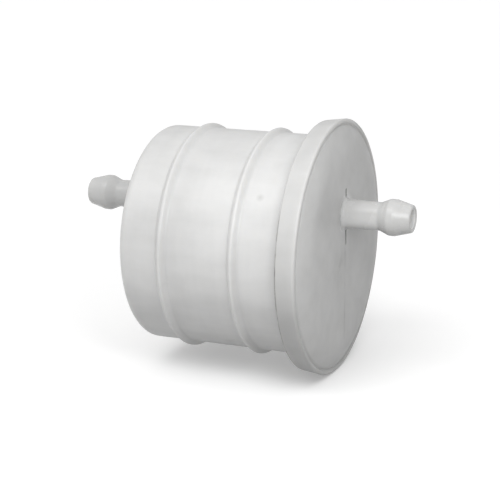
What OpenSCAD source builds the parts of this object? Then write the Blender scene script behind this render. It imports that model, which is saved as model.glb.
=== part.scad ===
// In-line fuel filter. A moulded cup and a moulded cap, each with a hose barb above
// its centre, are welded together round a pleated paper element on a cage.
// The housing's axis is X and the cap is towards +X. Both barbs are above the axis (+Z).
// The origin is on the axis, halfway between the two beads that locate a clip.
// Fuel comes in at the cap, goes through the pleats from outside to inside, and
// leaves from inside the cage through the socket in the cup's hub.

/* [Cup] */
// Outside radius of the cup
cup_r = 23.5; // [23.5:0.1:24.5]
// Length of the cup that shows, from its end face to the cap's edge
cup_length = 36.5; // [34:0.5:60]
// Thickness of the cup's side wall
wall = 2.0; // [1.6:0.1:2.0]
// Thickness of the end walls of the cup and the cap
end_wall = 2.2; // [1.8:0.1:2.4]
// Radius of the rounded edge at the cup's closed end
shoulder_r = 2.0; // [0.5:0.1:3]
// Radius of the raised hub that carries the outlet barb
hub_r = 13.8; // [13.4:0.1:15]
// Height of the hub above the cup's end face
hub_height = 3.0; // [2.7:0.1:4]

/* [Beads] */
// Distance from the cup's end face to the first bead's centre
bead_start = 10; // [6:0.5:12]
// Distance between the centres of the two beads
bead_spacing = 16; // [10:0.5:20]
// Radius of a bead's round section
bead_r = 0.8; // [0.7:0.05:1.1]
// Width of the slope at the foot of a bead, on each side
bead_foot = 0.25; // [0.1:0.05:0.4]

/* [Cap] */
// Outside radius of the cap at its open edge
cap_edge_r = 26.8; // [26.2:0.1:27.5]
// Outside radius of the cap at its face
cap_face_r = 27.4; // [27:0.1:29]
// Depth of the cap, from its open edge to its face
cap_depth = 5.9; // [5.5:0.1:9]
// Depth of the cap's rim below its face
rim_drop = 1.4; // [1:0.05:1.6]
// Radius of the rounded edge of the rim
cap_rim_r = 0.5; // [0.2:0.05:0.6]
// Radius of the flat part of the face, inside its rounded border
flat_r = 20.0; // [18:0.5:23]

/* [Hose barbs] */
// Height of both barbs above the housing's axis
barb_offset = 7.6; // [5:0.1:7.6]
// Length of a barb, from the face it stands on to its tip
barb_length = 14.7; // [13:0.1:20]
// Radius of a barb at its root
barb_root_r = 3.2; // [3:0.05:3.4]
// Radius of a barb where the ramp to its crest starts
barb_neck_r = 3.0; // [2.8:0.05:3.2]
// Radius of the crest that holds the hose
barb_crest_r = 3.9; // [3.6:0.05:4.2]
// Radius of a barb's tip
barb_tip_r = 2.9; // [2.8:0.05:3.2]
// Radius of the bore
barb_bore_r = 2.0; // [1.6:0.05:2]
// Distance from a barb's tip to the far side of its crest
crest_from_tip = 4.9; // [4:0.1:5.5]
// Length of the round land on the crest
crest_land = 1.2; // [1.1:0.1:1.6]
// Length of the ramp behind the crest
ramp_length = 2.1; // [1:0.1:3]
// Width of the slits above and below a barb's root
slit_w = 0.7; // [0.4:0.1:1]

/* [Element] */
// Number of pleats
pleat_count = 36; // [24:1:36]
// Thickness of the paper
paper_t = 0.45; // [0.3:0.05:0.45]
// Radius of the cage's bore
cage_bore_r = 10.2; // [10.1:0.1:10.4]
// Thickness of the cage's wall
cage_wall = 1.0; // [0.8:0.1:1]
// Columns of windows round the cage
window_columns = 6; // [4:2:8]
// Rows of windows along the cage
window_rows = 4; // [2:1:6]
// Thickness of an end disc
disc_t = 1.2; // [1:0.1:1.4]
// Thickness of the bed of adhesive in an end disc
bond_t = 1.0; // [0.6:0.1:1.2]

/* [Hidden] */
$fn = 96;
// How far one shape reaches into another that it joins
bite = 0.05;

// Places along X
cup_end_x = -bead_start - bead_spacing / 2;
cup_floor_x = cup_end_x + end_wall;
hub_x = cup_end_x - hub_height;
socket_floor_x = hub_x + end_wall;
cap_edge_x = cup_end_x + cup_length;
cap_face_x = cap_edge_x + cap_depth;
cap_floor_x = cap_face_x - end_wall;
cap_rim_x = cap_face_x - rim_drop;
weld_t = 0.3;
cup_rim_x = cap_floor_x - weld_t;
outlet_gap = 0.8;
outlet_disc_x = cup_floor_x + outlet_gap;
outlet_bed_x = outlet_disc_x + disc_t;
leg_length = 3.6;
inlet_disc_x = cap_floor_x - leg_length - disc_t;
media_start_x = outlet_bed_x + bond_t;
media_end_x = inlet_disc_x - bond_t;

// Radii from the outside in
slip = 0.1;
cup_bore_r = cup_r - wall;
skirt_bore_r = cup_r + slip;
groove_slip = 0.2;
groove_wall_r = cup_bore_r - groove_slip;
groove_wall_t = 1.2;
groove_depth = 2.5;
flow_gap = 1.7;
disc_r = cup_bore_r - flow_gap;
lip_t = 0.6;
lip_height = 1.8;
rib_slip = 0.15;
rib_reach = flow_gap - rib_slip;
rib_t = 1.2;
rib_length = 12;
rib_count = 4;
bed_slip = 0.05;
bed_outer_r = disc_r - lip_t - bed_slip;
cage_r = cage_bore_r + cage_wall;
cage_ring_r = cage_bore_r - slip;
cage_ring_height = 1.5;
window_bar = 1.6;

// Outlet neck and its seal
neck_bore_r = barb_offset + barb_bore_r + slip;
neck_r = 11.4;
neck_slip = 0.2;
neck_nose = 1.3;
socket_r = neck_r + neck_slip;
seal_groove_depth = 1.0;
groove_floor_r = neck_r - seal_groove_depth;
seal_groove_x = socket_floor_x + neck_nose;
seal_groove_width = 1.4;
seal_slip = 0.05;
seal_edge_r = 0.45;

// Closed disc's legs and the ring on the cap that centres them
leg_count = 4;
leg_r = 1.4;
leg_circle_r = 12.6;
leg_slip = 0.2;
centring_ring_r = leg_circle_r + leg_r + leg_slip;
centring_ring_t = 1.0;
centring_ring_height = 1.6;

// Groove between the cap's rim and the rounded border of its face
rim_groove_w = 0.8;
rim_groove_deep = 0.4;
rim_groove_r = cap_face_r - cap_rim_r - rim_groove_w;
border_w = rim_groove_r - rim_groove_w / 2 - flat_r;
border_r = (border_w * border_w + rim_drop * rim_drop) / (2 * rim_drop);

// Small edges of the housing
hub_edge_r = 1.0;
hub_foot_r = 0.8;
cap_lip_r = 0.3;
barb_foot_r = 0.5;
tip_edge_r = 0.4;
mouth_chamfer = 0.3;
bead_rise = 0.2;

// Slits in the face at a barb's root: depth, gap to the barb, and length above and below it
slit_deep = 0.7;
slit_gap = 0.35;
slit_up = 1.6;
slit_down = 3.2;

// Barb, measured from its root
crest_end = barb_length - crest_from_tip + crest_land;
crest_start = crest_end - crest_land;
ramp_start = crest_start - ramp_length;
crest_edge_r = 0.8;
crest_turn = crest_edge_r * (1 - sqrt(0.5));
crest_side = crest_edge_r * sqrt(0.5);

// Pleats: half the inside width of a fold, and the radii of folds outside and inside
fold_half = 0.35;
fold_round = 0.2;
pleat_outer_r = bed_outer_r - slip;
cage_gap = 0.4;
pleat_inner_r = cage_r + cage_gap + paper_t;

// Clip that holds the two ends of the paper together
clip_t = 0.3;
clip_slip = 0.05;
clip_depth = 3;
clip_half = fold_half + paper_t + clip_slip;

function polar(r, a) = [r * cos(a), r * sin(a)];
function arc_angle(width, r) = width / r * 180 / PI;
// Three points of one fold at radius r and angle a; turn is how far its shoulders sit back
function fold(r, a, half_width, turn) = [
    polar(r + turn, a - arc_angle(half_width, r)),
    polar(r, a),
    polar(r + turn, a + arc_angle(half_width, r))
];
// Outline of one side of the paper, where inset is 0 outside and the paper's thickness inside
function pleat_side(inset) = [
    for (i = [0 : pleat_count - 1], k = [0, 1])
        each fold(
            (k == 0 ? pleat_outer_r : pleat_inner_r) - inset,
            (i + k / 2) * 360 / pleat_count,
            fold_half + (k == 0 ? paper_t - inset : inset),
            k == 0 ? -fold_round : fold_round
        )
];

// Turns a shape made along Z so that it lies along X
module along_x() {
    rotate([0, 90, 0]) children();
}

// Turns a section drawn with radius across and X upwards about the housing's axis
module turned() {
    along_x() rotate_extrude() children();
}

// Material left between a square corner and the circle inside it
module corner(radius) {
    difference() {
        translate([-bite, -bite]) square(radius + bite);
        translate([radius, radius]) circle(radius);
    }
}

// Section of one bead, on the line across = 0, with a sloped foot on each side
module bead_section() {
    foot_up = bead_r + bead_foot;
    inside = [bead_rise + bead_r / 4, bead_r * 3 / 4];
    translate([bead_rise, 0]) circle(bead_r);
    polygon([
        [-bite, -foot_up], [0, -foot_up], [inside[0], -inside[1]],
        inside, [0, foot_up], [-bite, foot_up]
    ]);
}

// Rectangle with four round corners
module soft_rectangle(size, radius) {
    translate([radius, 0]) square([size[0] - 2 * radius, size[1]]);
    translate([0, radius]) square([size[0], size[1] - 2 * radius]);
    for (across = [radius, size[0] - radius], up = [radius, size[1] - radius])
        translate([across, up]) circle(radius);
}

// One hose barb along +X with its root at x = 0, without its bore
module barb() {
    translate([0, 0, barb_offset])
        turned() {
            polygon([
                [0, -bite], [barb_root_r, -bite], [barb_root_r, 0], [barb_neck_r, ramp_start],
                [barb_crest_r - crest_turn, crest_start - crest_side], [barb_crest_r, crest_start],
                [barb_crest_r, crest_end], [barb_crest_r - crest_turn, crest_end + crest_side],
                [barb_tip_r, barb_length - tip_edge_r], [barb_tip_r - tip_edge_r, barb_length],
                [0, barb_length]
            ]);
            translate([barb_root_r - bite, 0]) corner(barb_foot_r);
            for (x = [crest_start, crest_end])
                translate([barb_crest_r - crest_edge_r, x]) circle(crest_edge_r);
            translate([barb_tip_r - tip_edge_r, barb_length - tip_edge_r]) circle(tip_edge_r);
        }
}

// Bore of one barb along +X, from depth behind its root to a chamfered mouth
module barb_bore(depth) {
    translate([0, 0, barb_offset])
        along_x() {
            translate([0, 0, -depth - bite]) cylinder(r = barb_bore_r, h = barb_length + depth + 2 * bite);
            translate([0, 0, barb_length - mouth_chamfer])
                cylinder(r1 = barb_bore_r, r2 = barb_bore_r + 2 * mouth_chamfer, h = 2 * mouth_chamfer);
        }
}

// Slits sunk in the face above and below a barb's root, to cut from that face
module root_slits() {
    start = barb_root_r + slit_gap;
    translate([-slit_deep, -slit_w / 2, barb_offset]) {
        translate([0, 0, start]) cube([slit_deep + bite, slit_w, slit_up]);
        translate([0, 0, -start - slit_down]) cube([slit_deep + bite, slit_w, slit_down]);
    }
}

// Ring along X from x0 to x1
module ring(r_in, r_out, x0, x1) {
    turned() translate([r_in, x0]) square([r_out - r_in, x1 - x0]);
}

module cup_section() {
    difference() {
        union() {
            translate([cup_bore_r, cup_end_x]) square([wall, cup_rim_x - cup_end_x]);
            translate([0, cup_end_x]) square([cup_r, end_wall]);
            translate([0, hub_x]) square([hub_r, hub_height + end_wall]);
            translate([hub_r, cup_end_x]) mirror([0, 1]) corner(hub_foot_r);
            for (x = [-bead_spacing / 2, bead_spacing / 2])
                translate([cup_r, x]) bead_section();
        }
        translate([cup_r, cup_end_x]) mirror([1, 0]) corner(shoulder_r);
        translate([hub_r, hub_x]) mirror([1, 0]) corner(hub_edge_r);
        translate([-bite, socket_floor_x]) square([socket_r + bite, hub_height + end_wall]);
    }
}

module housing_cup() {
    color([0.90, 0.90, 0.88])
        difference() {
            union() {
                turned() cup_section();
                for (i = [0 : rib_count - 1])
                    rotate([(i + 0.5) * 360 / rib_count, 0, 0])
                        translate([cup_floor_x - bite, -rib_t / 2, cup_bore_r - rib_reach])
                            cube([rib_length + bite, rib_t, rib_reach + wall / 2]);
                translate([hub_x, 0, 0]) mirror([1, 0, 0]) barb();
            }
            translate([hub_x, 0, 0])
                mirror([1, 0, 0]) {
                    barb_bore(end_wall);
                    root_slits();
                }
        }
}

module cap_section() {
    polygon([
        [0, cap_floor_x], [skirt_bore_r, cap_floor_x], [skirt_bore_r, cap_edge_x],
        [cap_edge_r - cap_lip_r, cap_edge_x], [cap_edge_r, cap_edge_x + cap_lip_r],
        [cap_face_r, cap_rim_x - cap_rim_r], [cap_face_r - cap_rim_r, cap_rim_x],
        [rim_groove_r + rim_groove_w / 2, cap_rim_x], [rim_groove_r, cap_rim_x - rim_groove_deep],
        [rim_groove_r - rim_groove_w / 2, cap_rim_x], [flat_r, cap_rim_x], [flat_r, cap_face_x],
        [0, cap_face_x]
    ]);
    intersection() {
        translate([flat_r, cap_rim_x]) square([border_w, rim_drop]);
        translate([flat_r, cap_face_x - border_r]) circle(border_r);
    }
    translate([cap_edge_r - cap_lip_r, cap_edge_x + cap_lip_r]) circle(cap_lip_r);
    translate([cap_face_r - cap_rim_r, cap_rim_x - cap_rim_r]) circle(cap_rim_r);
    translate([groove_wall_r - groove_wall_t, cap_floor_x - groove_depth])
        square([groove_wall_t, groove_depth + bite]);
    translate([centring_ring_r, cap_floor_x - centring_ring_height])
        square([centring_ring_t, centring_ring_height + bite]);
}

module housing_cap() {
    color([0.88, 0.88, 0.86])
        difference() {
            union() {
                turned() cap_section();
                translate([cap_face_x, 0, 0]) barb();
            }
            translate([cap_face_x, 0, 0]) {
                barb_bore(end_wall);
                root_slits();
            }
        }
}

// Melted plastic between the cup's rim and the floor of the cap's groove
module weld_bead() {
    color([0.80, 0.80, 0.76]) ring(cup_bore_r, cup_r, cup_rim_x, cap_floor_x);
}

module filter_media() {
    color([0.93, 0.84, 0.62])
        translate([media_start_x, 0, 0])
            along_x()
                linear_extrude(media_end_x - media_start_x)
                    difference() {
                        polygon(pleat_side(0));
                        polygon(pleat_side(paper_t));
                    }
}

// Folded metal strip over the pleat where the paper's two ends meet
module media_seam_clip() {
    outer_half = clip_half + clip_t;
    floor_r = pleat_outer_r + clip_slip;
    open_r = floor_r - clip_depth;
    start_x = outlet_disc_x + disc_t + lip_height + clip_slip;
    end_x = inlet_disc_x - lip_height - clip_slip;
    color([0.75, 0.76, 0.78])
        translate([start_x, 0, 0])
            along_x()
                linear_extrude(end_x - start_x)
                    difference() {
                        translate([open_r, -outer_half]) square([clip_depth + clip_t, 2 * outer_half]);
                        translate([open_r - bite, -clip_half]) square([clip_depth + bite, 2 * clip_half]);
                    }
}

// Cage that keeps the pleats from collapsing inwards
module core_cage() {
    length = inlet_disc_x - outlet_bed_x;
    row_pitch = (length - 2 * cage_ring_height) / window_rows;
    window_length = row_pitch - window_bar;
    window_width = PI * cage_bore_r / window_columns;
    color([0.94, 0.94, 0.92])
        difference() {
            ring(cage_bore_r, cage_r, outlet_bed_x, inlet_disc_x);
            for (row = [0 : window_rows - 1], column = [0 : window_columns - 1])
                rotate([(column + 0.5) * 360 / window_columns, 0, 0])
                    translate([outlet_bed_x + cage_ring_height + (row + 0.5) * row_pitch, 0, cage_r])
                        cube([window_length, window_width, 4 * cage_wall], center = true);
        }
}

// Closed disc at the inlet end, held off the cap by legs
module end_disc_inlet() {
    color([0.25, 0.35, 0.30]) {
        ring(0, disc_r, inlet_disc_x, inlet_disc_x + disc_t);
        ring(disc_r - lip_t, disc_r, inlet_disc_x - lip_height, inlet_disc_x + bite);
        ring(cage_ring_r - lip_t, cage_ring_r, inlet_disc_x - cage_ring_height, inlet_disc_x + bite);
        for (i = [0 : leg_count - 1])
            rotate([(i + 0.5) * 360 / leg_count, 0, 0])
                translate([inlet_disc_x + disc_t - bite, 0, leg_circle_r])
                    along_x() cylinder(r = leg_r, h = leg_length + bite);
    }
}

// Open disc at the outlet end, with the neck that carries the seal
module end_disc_outlet() {
    seat_x = outlet_bed_x - bite;
    color([0.25, 0.35, 0.30])
        difference() {
            union() {
                ring(neck_bore_r, disc_r, outlet_disc_x, outlet_bed_x);
                ring(disc_r - lip_t, disc_r, seat_x, outlet_bed_x + lip_height);
                ring(neck_bore_r, cage_ring_r, seat_x, outlet_bed_x + cage_ring_height);
                ring(neck_bore_r, neck_r, socket_floor_x, outlet_disc_x + bite);
            }
            ring(groove_floor_r, neck_r + bite, seal_groove_x, seal_groove_x + seal_groove_width);
        }
}

// Bed of adhesive in which the ends of the pleats stand
module bond(x) {
    color([0.55, 0.40, 0.22]) ring(cage_r + bed_slip, bed_outer_r, x, x + bond_t);
}

module bond_inlet() {
    bond(media_end_x);
}

module bond_outlet() {
    bond(outlet_bed_x);
}

// Ring seal in the neck's groove, pressed flat against the groove and the socket
module outlet_seal() {
    color([0.12, 0.12, 0.13])
        turned()
            translate([groove_floor_r, seal_groove_x + seal_slip])
                soft_rectangle([socket_r - groove_floor_r, seal_groove_width - 2 * seal_slip], seal_edge_r);
}

housing_cup();
housing_cap();
weld_bead();
filter_media();
media_seam_clip();
core_cage();
end_disc_inlet();
end_disc_outlet();
bond_inlet();
bond_outlet();
outlet_seal();
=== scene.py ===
"""Fuel filter: a beaded cup and a flat cap in milky moulded plastic, with a hose barb at each end."""
import math

import bpy
import numpy as np
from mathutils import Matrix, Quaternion, Vector, noise


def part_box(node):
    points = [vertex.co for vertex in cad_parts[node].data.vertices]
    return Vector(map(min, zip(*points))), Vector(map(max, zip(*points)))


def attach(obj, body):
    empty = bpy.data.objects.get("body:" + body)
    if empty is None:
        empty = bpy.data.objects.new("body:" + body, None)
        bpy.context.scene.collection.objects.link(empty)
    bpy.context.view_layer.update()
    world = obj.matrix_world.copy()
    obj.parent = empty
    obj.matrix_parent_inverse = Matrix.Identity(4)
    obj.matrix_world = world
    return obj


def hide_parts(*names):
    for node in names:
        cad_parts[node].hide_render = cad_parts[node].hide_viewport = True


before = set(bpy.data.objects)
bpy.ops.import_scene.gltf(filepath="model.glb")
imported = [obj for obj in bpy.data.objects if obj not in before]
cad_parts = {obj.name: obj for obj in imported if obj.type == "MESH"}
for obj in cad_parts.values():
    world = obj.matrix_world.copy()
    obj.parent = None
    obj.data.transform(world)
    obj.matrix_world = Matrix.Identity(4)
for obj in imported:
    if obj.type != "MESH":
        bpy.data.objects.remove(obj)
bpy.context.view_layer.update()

MM = 0.001

# How finely the meshes are divided
AROUND = 220
ARC_STEP = math.radians(11)
BEAD_STEPS = 14

# Places along the axis and the cap's radius, in millimetres, from the frame's own boxes
cup_low, cup_high = (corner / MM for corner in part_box("housing_cup"))
cap_low, cap_high = (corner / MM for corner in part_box("housing_cap"))
OUTLET_TIP = cup_low.x
CUP_RIM = cup_high.x
CAP_EDGE = cap_low.x
INLET_TIP = cap_high.x
CAP_R = cap_high.z

# Sizes that both ends share, in millimetres. A barb's crest and ramp are measured from its tip.
BARB_Z = 7.6
BARB_LENGTH = 14.7
ROOT_R = 3.2
NECK_R = 3.0
CREST_R = 3.9
TIP_R = 2.9
BORE_R = 2.0
MOUTH_R = 2.3
CREST_NEAR = 3.7
CREST_FAR = 4.9
RAMP_FAR = 7.0
END_WALL = 2.2

# The two slits at a barb's root: the gap before them, their lengths above and below it, and their depth
SLIT_START = 0.3
SLIT_UP = 1.6
SLIT_DOWN = 3.2
SLIT_DEPTH = 0.65

# The cup, with its hub round the far barb
HUB_FACE = OUTLET_TIP + BARB_LENGTH
HUB_R = 13.8
HUB_BORE_R = 11.6
CUP_END = HUB_FACE + 3.0
CUP_R = 23.5
CUP_BORE_R = 21.5
BEAD_X = (-8, 8)
BEAD_HEIGHT = 1.0
BEAD_HALF = 1.4

# The cap: a flat face with a wide soft border, a fine groove round it, the skirt, and two rings inside:
# the wall that the cup's rim goes round, and the ring that centres the element's legs
CAP_FACE = INLET_TIP - BARB_LENGTH
RIM_DROP = 1.4
FLAT_R = 18.0
BORDER_R = 22.95
GROOVE_IN_R = 25.7
GROOVE_R = 26.1
GROOVE_OUT_R = 26.5
GROOVE_DEPTH = 0.4
EDGE_R = 26.8
SKIRT_BORE_R = 23.6
WALL_OUT_R = 21.3
WALL_IN_R = 20.1
WALL_HEIGHT = 2.5
CENTRING_OUT_R = 15.2
CENTRING_IN_R = 14.2
CENTRING_HEIGHT = 1.6


# ---------------------------------------------------------------- camera, floor and light

def polar(azimuth, elevation):
    """Unit vector towards a place at this azimuth and elevation, in degrees; 0 is -Y and 90 is +X."""
    a, e = math.radians(azimuth), math.radians(elevation)
    return Vector((math.sin(a) * math.cos(e), -math.cos(a) * math.cos(e), math.sin(e)))


def link(thing):
    bpy.context.scene.collection.objects.link(thing)
    return thing


def turn(thing, rotation):
    thing.rotation_mode = "QUATERNION"
    thing.rotation_quaternion = rotation


def add_camera():
    azimuth, elevation, roll = 22.6, 15.6, -0.56
    right, up, back = 2.22, -2.73, 327.0
    data = bpy.data.cameras.new("camera")
    data.lens = 108
    data.clip_start = 0.01
    data.clip_end = 20
    camera = link(bpy.data.objects.new("camera", data))
    aim = (-polar(azimuth, elevation)).to_track_quat("-Z", "Y")
    rotation = aim @ Quaternion((0, 0, 1), math.radians(roll))
    turn(camera, rotation)
    camera.location = rotation @ Vector((right, up, back)) * MM
    bpy.context.scene.camera = camera


def add_sun(name, azimuth, elevation, strength, angle):
    data = bpy.data.lights.new(name, "SUN")
    data.energy = strength
    data.angle = math.radians(angle)
    light = link(bpy.data.objects.new(name, data))
    turn(light, polar(azimuth, elevation).to_track_quat("Z", "Y"))


def add_softbox(name, place, power, size):
    """A square lamp of this size in metres, at a place in millimetres, aimed at the object."""
    data = bpy.data.lights.new(name, "AREA")
    data.energy = power
    data.size = size
    light = link(bpy.data.objects.new(name, data))
    light.location = Vector(place) * MM
    turn(light, Vector(place).to_track_quat("Z", "Y"))


def add_studio():
    """A white surround, brightest high up at the front left, with a soft sun there and a lamp at the
    front right."""
    darkest, brightest = 0.27, 0.97
    world = bpy.data.worlds.new("studio")
    bpy.context.scene.world = world
    world.use_nodes = True
    tree = world.node_tree
    coords = tree.nodes.new("ShaderNodeTexCoord")
    facing = tree.nodes.new("ShaderNodeVectorMath")
    facing.operation = "DOT_PRODUCT"
    facing.inputs[1].default_value = polar(-42, 54)
    tree.links.new(coords.outputs["Generated"], facing.inputs[0])
    glow = spread(tree, facing.outputs["Value"], darkest, brightest, -1.0, 1.0)
    tree.links.new(glow, tree.nodes["Background"].inputs["Strength"])
    tree.nodes["Background"].inputs["Color"].default_value = (1, 1, 1, 1)
    add_sun("key", azimuth=-28, elevation=56, strength=0.49, angle=30)
    add_softbox("side", place=(58, -82, 60), power=0.042, size=0.05)
    bpy.context.scene.view_settings.view_transform = "Standard"


def add_floor():
    """A white floor under the cap's rim. It glows a little, and casts no diffuse light on the object."""
    mesh = bpy.data.meshes.new("floor")
    half, level = 6.0, cap_low.z * MM
    mesh.from_pydata(
        [(-half, -half, level), (half, -half, level), (half, half, level), (-half, half, level)],
        [], [(0, 1, 2, 3)],
    )
    floor = link(bpy.data.objects.new("floor", mesh))
    floor.visible_diffuse = False
    material, _, shader = new_material("floor_white")
    set_inputs(shader, Roughness=0.9, Emission_Strength=0.13)
    shader.inputs["Base Color"].default_value = (0.95, 0.95, 0.95, 1)
    shader.inputs["Emission Color"].default_value = (1, 1, 1, 1)
    mesh.materials.append(material)


# ---------------------------------------------------------------- shader nodes

def new_material(name):
    """A material, its node tree and its Principled shader."""
    material = bpy.data.materials.new(name)
    material.use_nodes = True
    tree = material.node_tree
    return material, tree, tree.nodes["Principled BSDF"]


def set_inputs(node, **values):
    for key, value in values.items():
        node.inputs[key.replace("_", " ")].default_value = value


def object_coords(tree, stretch=(1, 1, 1)):
    """Object coordinates, scaled along each axis."""
    coords = tree.nodes.new("ShaderNodeTexCoord")
    mapping = tree.nodes.new("ShaderNodeMapping")
    mapping.inputs["Scale"].default_value = stretch
    tree.links.new(coords.outputs["Object"], mapping.inputs["Vector"])
    return mapping.outputs["Vector"]


def axis_value(tree, axis):
    """One object coordinate, in metres."""
    parts = tree.nodes.new("ShaderNodeSeparateXYZ")
    tree.links.new(object_coords(tree), parts.inputs[0])
    return parts.outputs[axis]


def noise_value(tree, scale, detail=3, stretch=(1, 1, 1), roughness=0.5):
    """A noise texture's value; scale is in features per metre."""
    node = tree.nodes.new("ShaderNodeTexNoise")
    set_inputs(node, Scale=scale, Detail=detail, Roughness=roughness)
    tree.links.new(object_coords(tree, stretch), node.inputs["Vector"])
    return node.outputs["Fac"]


def spread(tree, value, low, high, from_low=0.3, from_high=0.7):
    """Maps a value from from_low..from_high to low..high, and holds it within them."""
    node = tree.nodes.new("ShaderNodeMapRange")
    for index, number in ((1, from_low), (2, from_high), (3, low), (4, high)):
        node.inputs[index].default_value = number
    tree.links.new(value, node.inputs[0])
    return node.outputs[0]


def combine(tree, operation, *values):
    """Folds sockets together with one math operation, from left to right."""
    result = values[0]
    for value in values[1:]:
        node = tree.nodes.new("ShaderNodeMath")
        node.operation = operation
        tree.links.new(result, node.inputs[0])
        tree.links.new(value, node.inputs[1])
        result = node.outputs[0]
    return result


def distance(tree, coords, place):
    """Distance from a place in millimetres, in metres."""
    node = tree.nodes.new("ShaderNodeVectorMath")
    node.operation = "DISTANCE"
    node.inputs[1].default_value = Vector(place) * MM
    tree.links.new(coords, node.inputs[0])
    return node.outputs["Value"]


def near_place(tree, place, radius):
    """1 at a place in millimetres, fading to 0 at the radius."""
    return spread(tree, distance(tree, object_coords(tree), place), 1, 0, 0, radius * MM)


def off_axis(tree, height, near, far, low, high):
    """Maps the distance from the line along X at this height, from near..far to low..high."""
    flattened = object_coords(tree, (0, 1, 1))
    return spread(tree, distance(tree, flattened, (0, 0, height)), low, high, near * MM, far * MM)


def band(tree, axis, low, high, blur):
    """1 between low and high along an axis, in millimetres, with blurred ends."""
    value = axis_value(tree, axis)
    rise = spread(tree, value, 0, 1, (low - blur) * MM, (low + blur) * MM)
    fall = spread(tree, value, 1, 0, (high - blur) * MM, (high + blur) * MM)
    return combine(tree, "MULTIPLY", rise, fall)


def tint(tree, value, dark, light):
    """A colour between dark and light."""
    node = tree.nodes.new("ShaderNodeMix")
    node.data_type = "RGBA"
    node.inputs[6].default_value = (*dark, 1)
    node.inputs[7].default_value = (*light, 1)
    tree.links.new(value, node.inputs[0])
    return node.outputs[2]


def stain_or_painted_light(tree, colour, mask, shade):
    """The colour multiplied by a shade where the mask is 1; it paints stains, painted shade and painted
    light.
    """
    node = tree.nodes.new("ShaderNodeMix")
    node.data_type = "RGBA"
    node.blend_type = "MULTIPLY"
    node.inputs[7].default_value = (*shade, 1)
    tree.links.new(mask, node.inputs[0])
    tree.links.new(colour, node.inputs[6])
    return node.outputs[2]


def bump(tree, shader, layers):
    """Chains bump maps; each layer is (value, height in millimetres, strength)."""
    normal = None
    for value, height, strength in layers:
        node = tree.nodes.new("ShaderNodeBump")
        set_inputs(node, Distance=height * MM, Strength=strength)
        tree.links.new(value, node.inputs["Height"])
        if normal:
            tree.links.new(normal, node.inputs["Normal"])
        normal = node.outputs["Normal"]
    tree.links.new(normal, shader.inputs["Normal"])


# ---------------------------------------------------------------- the housing's materials

def grey(level):
    return (level, level, level)


def milky_plastic(name, dark, light, roughness, glow, marks_and_light):
    """Natural moulded plastic: cloudy, faintly streaked by its flow, and slightly see-into.
    It is more polished on the barbs. The last argument makes a list of (mask, shade) in the material's
    tree: stains, painted shade and painted light."""
    material, tree, shader = new_material(name)
    cloud = spread(tree, noise_value(tree, 90, 4, roughness=0.6), 0, 0.45)
    streak = spread(tree, noise_value(tree, 260, 4, (0.22, 1, 1)), 0, 0.3)
    rings = spread(tree, noise_value(tree, 260, 3, (1, 0.1, 0.1)), 0, 0.25)
    colour = tint(tree, combine(tree, "ADD", cloud, streak, rings), dark, light)
    for mask, shade in marks_and_light(tree):
        colour = stain_or_painted_light(tree, colour, mask, shade)
    tree.links.new(colour, shader.inputs["Base Color"])
    uneven = spread(tree, noise_value(tree, 260, 4), roughness - 0.05, roughness + 0.07)
    polish = off_axis(tree, BARB_Z, ROOT_R + 0.8, ROOT_R + 1.6, 0.55, 1)
    tree.links.new(combine(tree, "MULTIPLY", uneven, polish), shader.inputs["Roughness"])
    set_inputs(shader, Subsurface_Weight=glow, Subsurface_Scale=2.5 * MM, IOR=1.5)
    shader.inputs["Subsurface Radius"].default_value = (1.0, 0.95, 0.85)
    waves = (noise_value(tree, 150, 2, (0.5, 1, 1)), 0.25, 0.4)
    grain = (noise_value(tree, 1900, 3), 0.02, 0.4)
    bump(tree, shader, [waves, grain])
    return material


def fading_up(tree):
    """1 on the lower half, fading to a quarter near the top."""
    return spread(tree, axis_value(tree, "Z"), 1, 0.25, 2 * MM, 16 * MM)


def slit_shade(tree, face):
    """Painted shade in the two slits at a barb's root."""
    top, bottom = BARB_Z + ROOT_R, BARB_Z - ROOT_R
    across = band(tree, "Y", -0.45, 0.45, 0.12)
    level = band(tree, "X", face - 1.0, face + 0.15, 0.1)
    upper = band(tree, "Z", top + SLIT_START, top + SLIT_START + SLIT_UP + 0.2, 0.15)
    lower = band(tree, "Z", bottom - SLIT_START - SLIT_DOWN - 0.1, bottom - SLIT_START, 0.15)
    return combine(tree, "MULTIPLY", across, level, combine(tree, "ADD", upper, lower))


def bore_glow(tree, tip):
    """Painted light on the outer stretch of a barb's bore, which light reaches through the wall."""
    reach = 12
    inside = off_axis(tree, BARB_Z, BORE_R + 0.05, BORE_R + 0.2, 1, 0)
    return combine(tree, "MULTIPLY", inside, band(tree, "X", tip - reach, tip + reach, 1))


def cup_marks_and_shade(tree):
    """Painted shade on the thin far barb, along the seam (fading towards the top) and in the slits, and
    one small mark near the cap.
    """
    patchy = spread(tree, noise_value(tree, 420, 3), 0.1, 1, 0.38, 0.6)
    along_edge = band(tree, "X", CAP_EDGE - 0.75, CAP_EDGE + 1, 0.4)
    far_barb = band(tree, "X", OUTLET_TIP - 1, HUB_FACE - 0.6, 0.8)
    mark = near_place(tree, (12.5, -18.7, 14.2), 1.0)
    return (
        # painted shade: the thin far barb darker
        (far_barb, grey(0.85)),
        # painted shade: a dark line on the cup beside the skirt's edge, in patches, fading towards the
        # top
        (combine(tree, "MULTIPLY", along_edge, patchy, fading_up(tree)), (0.55, 0.55, 0.53)),
        (mark, (0.8, 0.8, 0.79)),
        # painted shade in the slits
        (slit_shade(tree, HUB_FACE), (0.4, 0.4, 0.38)),
    )


def seam_flash_shade(tree):
    """Painted shade on the flash, in patches, fading towards the top."""
    patchy = spread(tree, noise_value(tree, 130, 4, roughness=0.65), 0.15, 1, 0.36, 0.56)
    # painted shade: the flash dark in patches, fading towards the top
    return ((combine(tree, "MULTIPLY", patchy, fading_up(tree)), (0.12, 0.12, 0.115)),)


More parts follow.
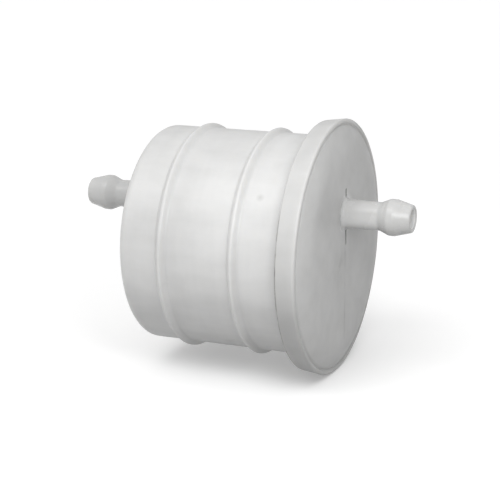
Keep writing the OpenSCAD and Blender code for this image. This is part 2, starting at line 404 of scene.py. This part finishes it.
def face_marks_and_shade(tree):
    """The cap's face: a flow line under the barb, a smudge beside it, and painted shade on the lower
    right.
    """
    level = band(tree, "X", CAP_FACE - 0.5, CAP_FACE + 0.2, 0.1)
    uneven = spread(tree, noise_value(tree, 300, 3), 0, 1, 0.35, 0.65)
    flow_line = combine(tree, "MULTIPLY", band(tree, "Y", -0.8, -0.1, 0.35), band(tree, "Z", -19, 3, 4))
    smudge = near_place(tree, (CAP_FACE, -3.9, -3.2), 5.0)
    rightwards = spread(tree, axis_value(tree, "Y"), 0, 1, -4 * MM, 22 * MM)
    downwards = spread(tree, axis_value(tree, "Z"), 1, 0, -20 * MM, 6 * MM)
    return (
        (combine(tree, "MULTIPLY", flow_line, level, uneven), grey(0.82)),
        (combine(tree, "MULTIPLY", smudge, uneven), grey(0.78)),
        # painted shade: the face darker towards the lower right
        (combine(tree, "MULTIPLY", level, rightwards, downwards), grey(0.86)),
    )


def skirt_shade(tree):
    """The cap's skirt: painted shade as a broken dark line along its open edge, fading towards the top,
    and on its lower half.
    """
    on_edge = band(tree, "X", CAP_EDGE - 0.4, CAP_EDGE + 0.32, 0.12)
    outermost = off_axis(tree, 0, EDGE_R - 0.6, EDGE_R - 0.3, 0, 1)
    broken = spread(tree, noise_value(tree, 110, 4, roughness=0.7), 0.1, 1, 0.36, 0.6)
    lower_half = combine(
        tree, "MULTIPLY",
        band(tree, "X", CAP_EDGE - 1, CAP_FACE, 0.4), band(tree, "Z", -40, -1, 9),
        off_axis(tree, 0, EDGE_R - 0.9, EDGE_R - 0.5, 0, 1),
    )
    return (
        # painted shade: a broken dark line along the skirt's open edge, fading towards the top
        (combine(tree, "MULTIPLY", on_edge, outermost, broken, fading_up(tree)), (0.22, 0.22, 0.21)),
        # painted shade: the skirt's lower half darker
        (lower_half, grey(0.8)),
    )


def cap_marks_shade_and_light(tree):
    """The face's marks and painted shade, the skirt's painted shade, painted shade in the slits, and
    painted light in the bore and on the barb's underside.
    """
    # painted light: the shank's underside lighter
    shank_underside_light = combine(
        tree, "MULTIPLY",
        band(tree, "X", CAP_FACE + 0.3, INLET_TIP - RAMP_FAR, 0.3),
        band(tree, "Z", BARB_Z - 5, BARB_Z - 0.5, 1.5),
    )
    return face_marks_and_shade(tree) + skirt_shade(tree) + (
        # painted shade in the slits
        (slit_shade(tree, CAP_FACE), (0.42, 0.42, 0.41)),
        # painted light: the bore lighter
        (bore_glow(tree, INLET_TIP), grey(1.5)),
        (shank_underside_light, grey(1.3)),
    )


# ---------------------------------------------------------------- outlines

def soft_path(corners):
    """Dense points along straight stretches between corners, each corner rounded.
    A corner is (x, radius, height of the ring's centre, rounding radius, longest step before it)."""
    places = [Vector(corner[:3]) for corner in corners]
    path = [places[0]]
    for i in range(1, len(corners)):
        rounding, step = corners[i][3:]
        start, here = path[-1], places[i]
        inward = (here - places[i - 1]).normalized()
        arc = []
        end = here
        if i + 1 < len(corners) and rounding > 0:
            outward = (places[i + 1] - here).normalized()
            bend = inward.angle(outward)
            side = (outward - inward * math.cos(bend)).normalized()
            end = here - inward * rounding * math.tan(bend / 2)
            count = max(3, math.ceil(bend / ARC_STEP), math.ceil(bend * rounding / step))
            for k in range(1, count + 1):
                a = bend * k / count
                arc.append(end + side * rounding * (1 - math.cos(a)) + inward * rounding * math.sin(a))
        count = max(1, math.ceil((end - start).length / step))
        path += [start.lerp(end, k / count) for k in range(1, count + 1)]
        path += arc
    return path


def bead_path(x):
    """One bead: a smooth swell, highest at x."""
    return [
        Vector((
            x + BEAD_HALF * k / BEAD_STEPS,
            CUP_R + BEAD_HEIGHT * (1 + math.cos(math.pi * k / BEAD_STEPS)) / 2,
            0,
        ))
        for k in range(-BEAD_STEPS, BEAD_STEPS + 1)
    ]


def barb_corners(root, out):
    """Corners of one barb from its bore to its root; out is the way it points along X."""
    tip = root + out * BARB_LENGTH
    inner = root - out * END_WALL
    return [
        (inner, BORE_R, BARB_Z, 0, 1),
        (tip - out * 0.35, BORE_R, BARB_Z, 0.3, 0.8),
        (tip, MOUTH_R, BARB_Z, 0.08, 0.2),
        (tip, TIP_R, BARB_Z, 0.4, 0.2),
        (tip - out * CREST_NEAR, CREST_R, BARB_Z, 1.1, 0.25),
        (tip - out * CREST_FAR, CREST_R, BARB_Z, 0.9, 0.25),
        (tip - out * RAMP_FAR, NECK_R, BARB_Z, 1.6, 0.25),
        (root, ROOT_R, BARB_Z, 0.6, 0.3),
    ]


def cup_path():
    """Once round the cup's section: the barb, the hub, the outside with its beads, and the bore.
    Rings round the barb stay close together out to close_r, for the slits."""
    close_r = 4.8
    beside = BEAD_HALF + 0.2
    floor = CUP_END + END_WALL
    hub_floor = HUB_FACE + END_WALL
    start = soft_path(barb_corners(HUB_FACE, -1) + [
        (HUB_FACE, close_r, BARB_Z, 0, 0.14),
        (HUB_FACE, HUB_R - 1.2, 0, 0, 0.25),
        (HUB_FACE, HUB_R, 0, 1.0, 0.3),
        (CUP_END, HUB_R, 0, 0.8, 0.3),
        (CUP_END, CUP_R, 0, 2.0, 0.6),
        (BEAD_X[0] - beside, CUP_R, 0, 0, 0.5),
    ])
    middle = soft_path([
        (BEAD_X[0] + beside, CUP_R, 0, 0, 1),
        (BEAD_X[1] - beside, CUP_R, 0, 0, 0.5),
    ])
    end = soft_path([
        (BEAD_X[1] + beside, CUP_R, 0, 0, 1),
        (CUP_RIM, CUP_R, 0, 0.3, 0.5),
        (CUP_RIM, CUP_BORE_R, 0, 0.3, 0.5),
        (floor, CUP_BORE_R, 0, 0.8, 1.0),
        (floor, HUB_BORE_R, 0, 0.2, 0.8),
        (hub_floor, HUB_BORE_R, 0, 0.2, 0.5),
        (hub_floor, BORE_R, BARB_Z, 0, 0.6),
    ])
    return start + bead_path(BEAD_X[0]) + middle + bead_path(BEAD_X[1]) + end


def cap_path():
    """Once round the cap's section: the barb, the face, the rim with its groove, the skirt, the inside.
    Rings round the barb stay close together out to close_r, for the slits."""
    close_r = 8.8
    floor = CAP_FACE - END_WALL
    rim = CAP_FACE - RIM_DROP
    return soft_path(barb_corners(CAP_FACE, 1) + [
        (CAP_FACE, close_r, BARB_Z, 0, 0.12),
        (CAP_FACE, FLAT_R, 0, 0, 0.35),
        (CAP_FACE, BORDER_R, 0, 12.2, 0.35),
        (rim, GROOVE_IN_R, 0, 0.15, 0.25),
        (rim - GROOVE_DEPTH, GROOVE_R, 0, 0.12, 0.1),
        (rim, GROOVE_OUT_R, 0, 0.15, 0.1),
        (rim, CAP_R, 0, 0.5, 0.1),
        (CAP_EDGE, EDGE_R, 0, 0.3, 0.35),
        (CAP_EDGE, SKIRT_BORE_R, 0, 0.12, 0.4),
        (floor, SKIRT_BORE_R, 0, 0.1, 0.5),
        (floor, WALL_OUT_R, 0, 0.1, 0.5),
        (floor - WALL_HEIGHT, WALL_OUT_R, 0, 0.2, 0.5),
        (floor - WALL_HEIGHT, WALL_IN_R, 0, 0.2, 0.4),
        (floor, WALL_IN_R, 0, 0.2, 0.5),
        (floor, CENTRING_OUT_R, 0, 0.2, 0.8),
        (floor - CENTRING_HEIGHT, CENTRING_OUT_R, 0, 0.2, 0.4),
        (floor - CENTRING_HEIGHT, CENTRING_IN_R, 0, 0.2, 0.4),
        (floor, CENTRING_IN_R, 0, 0.2, 0.4),
        (floor, BORE_R, BARB_Z, 0, 0.6),
    ])


# ---------------------------------------------------------------- meshes

def even_angles():
    return np.arange(AROUND) * 2 * math.pi / AROUND


def ring_points(path):
    """Grid of points, one row for each ring of the path. Points sit closer at the top and the bottom."""
    crowding = 0.22
    around = even_angles() + crowding * np.sin(2 * even_angles())
    x, radius, centre = np.array(path).T[:, :, None]
    return np.stack([
        np.broadcast_to(x, (len(path), AROUND)),
        radius * np.cos(around),
        centre + radius * np.sin(around),
    ], axis=-1)


def smooth(low, high, value):
    """Rises smoothly from 0 at low to 1 at high."""
    t = np.clip((value - low) / (high - low), 0, 1)
    return t * t * (3 - 2 * t)


def cut_slits(points, face, out):
    """Sinks the two slits in the face above and below a barb's root."""
    x, y, z = (points[..., i] for i in range(3))
    beyond = np.abs(z - BARB_Z) - ROOT_R
    end = SLIT_START + np.where(z > BARB_Z, SLIT_UP, SLIT_DOWN)
    along = smooth(SLIT_START, SLIT_START + 0.15, beyond) * (1 - smooth(end, end + 0.15, beyond))
    across = 1 - smooth(0.28, 0.4, np.abs(y))
    on_face = np.abs(x - face) < 0.3
    points[..., 0] = x - out * SLIT_DEPTH * along * across * on_face


def grid_normals(points):
    """Unit normals of a closed grid."""
    along_path = np.roll(points, -1, 0) - np.roll(points, 1, 0)
    around_ring = np.roll(points, -1, 1) - np.roll(points, 1, 1)
    normals = np.cross(around_ring, along_path)
    return normals / np.maximum(np.linalg.norm(normals, axis=-1, keepdims=True), 1e-9)


def wander(points, size, seed):
    """Smooth noise from 0 to 1 at each point; size is its feature size in millimetres."""
    shift = Vector((seed * 13.7, seed * 5.1, seed * 9.3))
    flat = points.reshape(-1, 3)
    values = [noise.noise(Vector(p) / size + shift) for p in flat]
    return np.clip(0.5 + 0.5 * np.array(values), 0, 1).reshape(points.shape[:-1])


def settle(points, depth, size, seed):
    """Lets the surface sink a little, unevenly, as a moulding does when it cools."""
    return points - grid_normals(points) * (depth * wander(points, size, seed))[..., None]


def grid_object(name, points):
    """Closed quad mesh from a grid of points in millimetres."""
    rows, count = points.shape[:2]
    index = np.arange(rows * count).reshape(rows, count)
    right = np.roll(index, -1, 1)
    below = np.roll(index, -1, 0)
    faces = np.stack([index, right, np.roll(right, -1, 0), below], axis=-1).reshape(-1, 4)
    mesh = bpy.data.meshes.new(name)
    mesh.from_pydata((points.reshape(-1, 3) * MM).tolist(), [], faces.tolist())
    mesh.shade_smooth()
    mesh.validate()
    return link(bpy.data.objects.new(name, mesh))


# ---------------------------------------------------------------- pieces

def finish_piece(piece, material, slot, *nodes):
    """Gives a piece its material and its body, and hides the CAD nodes that it stands in for. Slot is
    not used.
    """
    piece.data.materials.append(material)
    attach(piece, "root")
    if nodes:
        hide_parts(*nodes)


def make_cup():
    points = ring_points(cup_path())
    cut_slits(points, HUB_FACE, -1)
    piece = grid_object("cup_shell", settle(points, depth=0.07, size=9, seed=1))
    body = milky_plastic(
        "milky_cup", (0.565, 0.565, 0.56), (0.695, 0.695, 0.69),
        roughness=0.38, glow=0.35, marks_and_light=cup_marks_and_shade,
    )
    finish_piece(piece, body, "housing_plastic", "housing_cup")


def make_cap():
    """The cap's rings are turned round, because its path runs the other way from the cup's."""
    points = ring_points(cap_path())[:, ::-1]
    cut_slits(points, CAP_FACE, 1)
    piece = grid_object("cap_shell", settle(points, depth=0.06, size=8, seed=2))
    body = milky_plastic(
        "milky_cap", (0.495, 0.495, 0.49), (0.60, 0.60, 0.595),
        roughness=0.48, glow=0.35, marks_and_light=cap_marks_shade_and_light,
    )
    finish_piece(piece, body, "cap_plastic", "housing_cap")


def flash_size(angle):
    """Size of the flash at this angle round the axis, in millimetres: broad waves and small lumps."""
    def ring_noise(reach, shift):
        return noise.noise(Vector((reach * math.cos(angle), reach * math.sin(angle), shift)))

    return 0.20 + 0.16 * ring_noise(4, 3.3) + 0.07 * ring_noise(19, 1.7)


def make_flash():
    """Uneven flash squeezed out where the cap's skirt is welded to the cup."""
    sides = 12
    centre_x = CAP_EDGE + 0.05
    centre_r = CUP_R + 0.12
    around = even_angles()
    swell = np.array([flash_size(angle) for angle in around])
    rows = []
    for k in range(sides):
        a = 2 * math.pi * k / sides
        radius = centre_r + swell * math.sin(a)
        x = centre_x - swell * math.cos(a)
        rows.append(np.stack([x, radius * np.cos(around), radius * np.sin(around)], axis=-1))
    piece = grid_object("seam_flash", np.array(rows))
    body = milky_plastic(
        "remelted", (0.5, 0.5, 0.49), (0.64, 0.64, 0.62),
        roughness=0.3, glow=0.2, marks_and_light=seam_flash_shade,
    )
    finish_piece(piece, body, "weld_plastic")


# ---------------------------------------------------------------- the CAD nodes' looks

def grained(name, dark, light, scale, grain, roughness, relief, stretch=(1, 1, 1), metallic=0.0):
    """A plain material with a clouded colour and a fine grain. Scale and grain are in features per
    metre, and relief is in millimetres."""
    material, tree, shader = new_material(name)
    clouds = combine(
        tree, "ADD",
        spread(tree, noise_value(tree, scale, 3, stretch), 0, 0.6),
        spread(tree, noise_value(tree, grain, 4), 0, 0.4),
    )
    tree.links.new(tint(tree, clouds, dark, light), shader.inputs["Base Color"])
    tree.links.new(
        spread(tree, noise_value(tree, grain / 2, 3), roughness - 0.08, roughness + 0.08),
        shader.inputs["Roughness"],
    )
    set_inputs(shader, Metallic=metallic)
    bump(tree, shader, [
        (noise_value(tree, scale, 2, stretch), relief, 0.4),
        (noise_value(tree, grain, 4), relief / 3, 0.5),
    ])
    return material


def dress_nodes():
    """Materials of every CAD node. The pieces inside keep their CAD shapes."""
    paper = grained(
        "pleat_paper", (0.70, 0.54, 0.29), (0.84, 0.71, 0.46),
        scale=900, grain=4500, roughness=0.85, relief=0.05, stretch=(1, 0.3, 0.3),
    )
    steel = grained(
        "tinned_strip", (0.55, 0.56, 0.58), (0.70, 0.71, 0.73),
        scale=700, grain=3500, roughness=0.32, relief=0.01, stretch=(0.1, 1, 1), metallic=1.0,
    )
    cage = grained(
        "cage_nylon", (0.74, 0.74, 0.70), (0.84, 0.84, 0.81),
        scale=140, grain=2200, roughness=0.45, relief=0.03,
    )
    disc = grained(
        "disc_nylon", (0.10, 0.15, 0.125), (0.17, 0.23, 0.20),
        scale=160, grain=2400, roughness=0.42, relief=0.03,
    )
    bed = grained(
        "set_adhesive", (0.30, 0.17, 0.06), (0.45, 0.29, 0.13),
        scale=260, grain=1400, roughness=0.25, relief=0.08,
    )
    rubber = grained(
        "seal_rubber", (0.025, 0.025, 0.027), (0.05, 0.05, 0.054),
        scale=300, grain=3800, roughness=0.6, relief=0.02,
    )
    weld = grained(
        "weld_remelt", (0.60, 0.60, 0.56), (0.74, 0.74, 0.70),
        scale=300, grain=1500, roughness=0.35, relief=0.05,
    )
    looks = {
        "housing_cup": weld, "housing_cap": weld, "weld_bead": weld, "filter_media": paper,
        "media_seam_clip": steel, "core_cage": cage, "end_disc_inlet": disc, "end_disc_outlet": disc,
        "bond_inlet": bed, "bond_outlet": bed, "outlet_seal": rubber,
    }
    for name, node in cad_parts.items():
        node.data.materials.clear()
        node.data.materials.append(looks[name])


add_camera()
add_studio()
add_floor()
dress_nodes()
make_cup()
make_cap()
make_flash()
